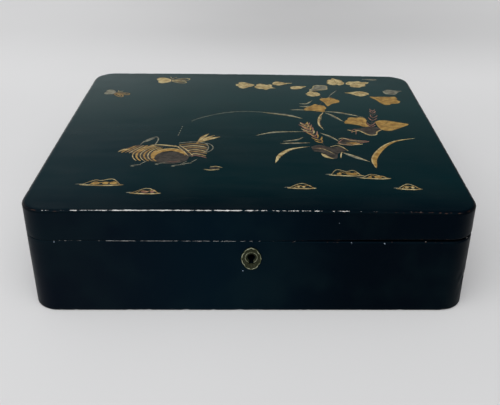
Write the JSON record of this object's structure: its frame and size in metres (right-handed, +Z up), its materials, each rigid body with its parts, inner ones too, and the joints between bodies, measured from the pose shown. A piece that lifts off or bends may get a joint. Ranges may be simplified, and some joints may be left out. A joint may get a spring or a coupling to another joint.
{
  "type": "lacquer box",
  "caption": "Flat wooden box in dark lacquer with rounded upright corners, a flush lift-off lid painted with plants and butterflies, and a small lobed brass keyhole plate on the front.",
  "frame": {"origin": "middle of the box's underside, on the surface that it stands on", "axes": "+Z up, -Y out of the front wall with the keyhole, +X to the right as seen from the front"},
  "size_m": [0.3, 0.2761, 0.08],
  "materials": {
    "lacquer": "wood under glossy blue-black lacquer, worn along its edges",
    "aged_brass": "dark olive patina with a rubbed rim",
    "gold_decoration": "gold powder laid in lacquer, soft metallic sheen",
    "tinted_decoration": "brown, pink and grey lacquer colours, satin"
  },
  "bodies": {
    "root": {"box_body": "lacquer", "lid": "lacquer", "keyhole_plate": "aged_brass"}
  },
  "joints": []
}
